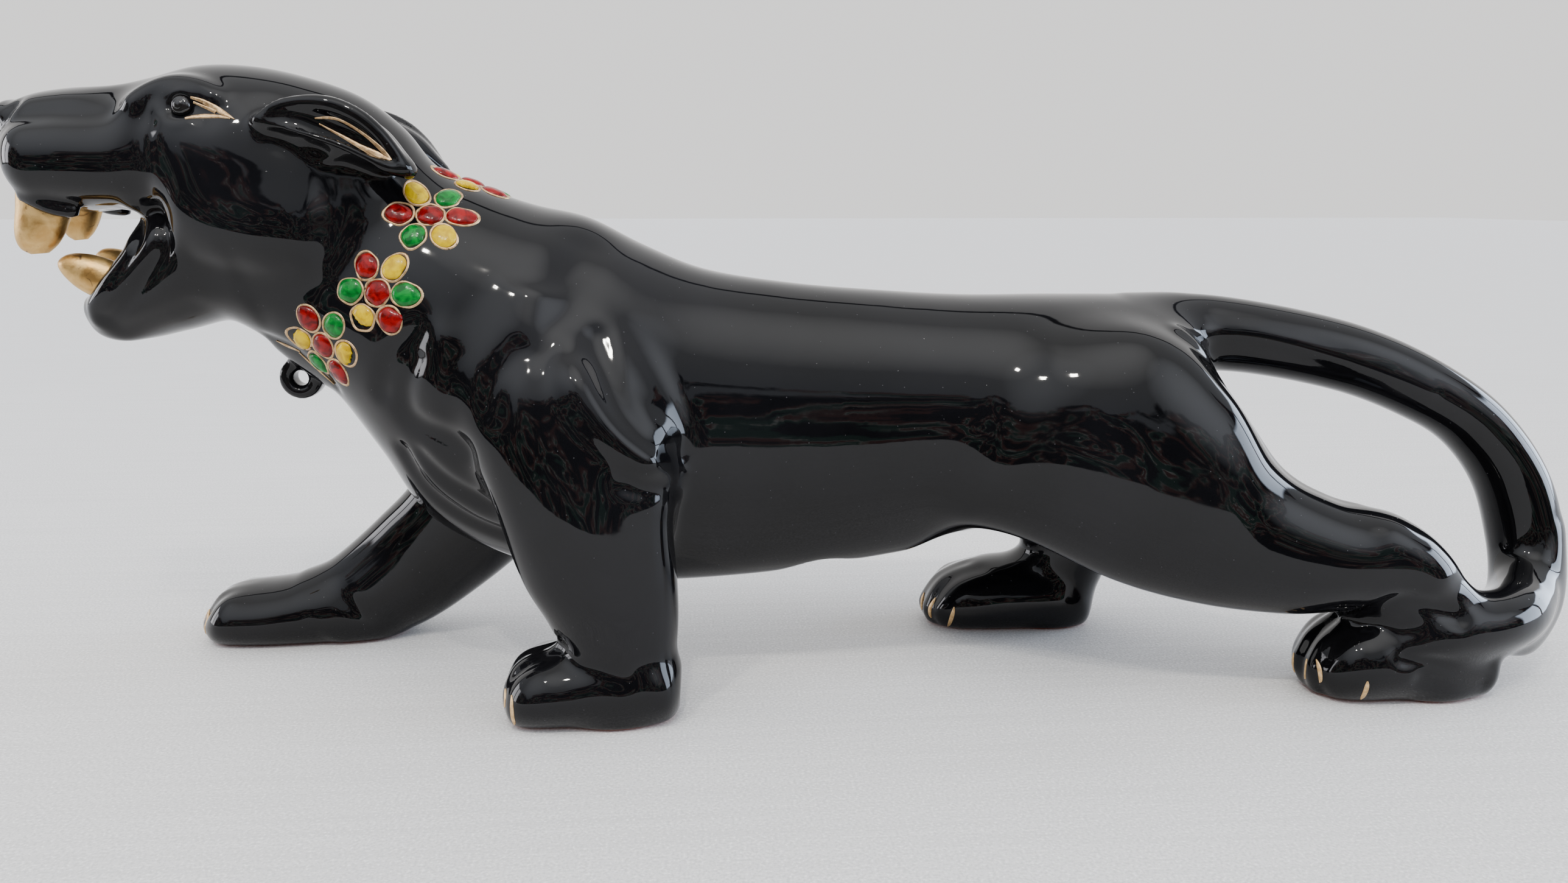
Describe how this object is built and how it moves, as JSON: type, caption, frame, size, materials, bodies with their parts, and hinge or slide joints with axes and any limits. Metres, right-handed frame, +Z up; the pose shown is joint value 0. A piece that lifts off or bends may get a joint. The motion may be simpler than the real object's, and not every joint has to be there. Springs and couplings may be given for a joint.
{
  "type": "panther television lamp",
  "caption": "Black glazed ceramic panther lamp with a jewelled enamel collar, gilt fangs and claws, and a small bulb in a push-in belly lampholder.",
  "frame": {"origin": "on the table under the middle of the lamp's bounding box", "axes": "+Z up, the tail at +X and the head at -X, the panther's left side towards -Y"},
  "size_m": [0.526, 0.119, 0.2044],
  "materials": {
    "black_glaze": "mirror-gloss black glaze over red earthenware",
    "gilding": "satin overglaze gold, worn at the tips",
    "claw_gilding": "brushed-on overglaze gold",
    "glass_eye": "polished black glass",
    "enamel_red": "glossy domed enamel",
    "enamel_yellow": "glossy domed enamel, chipped in places",
    "enamel_green": "glossy domed enamel",
    "holder_plastic": "moulded phenolic, semi-gloss",
    "sleeve_board": "waxed fibre tube",
    "contact_brass": "stamped brass, slightly tarnished",
    "disc_fibre": "pressed vulcanised fibre",
    "rubber": "matte moulded rubber",
    "tinned_metal": "dull tinned metal",
    "bulb_glass": "clear glass",
    "stem_glass": "pressed clear glass",
    "black_glass": "fused black glass",
    "tungsten": "coiled tungsten wire"
  },
  "bodies": {
    "root": {"torso": "black_glaze", "head": "black_glaze", "ear_left": "black_glaze", "ear_right": "black_glaze", "front_left_leg": "black_glaze", "front_right_leg": "black_glaze", "hind_left_leg": "black_glaze", "hind_right_leg": "black_glaze", "tail": "black_glaze", "collar_lug": "black_glaze", "upper_left_canine": "gilding", "upper_right_canine": "gilding", "lower_left_canine": "gilding", "lower_right_canine": "gilding", "eye_left": "glass_eye", "eye_right": "glass_eye", "enamel_red": "enamel_red", "enamel_yellow": "enamel_yellow", "enamel_green": "enamel_green", "collar_gold": "gilding", "claws_front_left": "claw_gilding", "claws_front_right": "claw_gilding", "claws_hind_left": "claw_gilding", "claws_hind_right": "claw_gilding"},
    "holder": {"holder_cap": "holder_plastic", "holder_clips": "contact_brass", "inlet_grommet": "rubber", "holder_sleeve": "sleeve_board", "screw_shell": "contact_brass", "contact_disc": "disc_fibre", "centre_contact": "contact_brass", "contact_rivet": "tinned_metal", "terminal_screws": "contact_brass"},
    "bulb": {"bulb_glass": "bulb_glass", "bulb_cap": "contact_brass", "bulb_insulator": "black_glass", "bulb_tip": "tinned_metal", "bulb_stem": "stem_glass", "bulb_leads": "tinned_metal", "filament": "tungsten"}
  },
  "joints": [
    {"name": "holder_slide", "type": "slide", "parent": "root", "child": "holder", "axis": [0, 0, -1], "range_m": [0, 0.042]},
    {"name": "bulb_turn", "type": "hinge", "parent": "holder", "child": "bulb", "pos_m": [-0.005, 0, 0.065], "axis": [0, 0, 1], "range_deg": [0, 1080]}
  ]
}
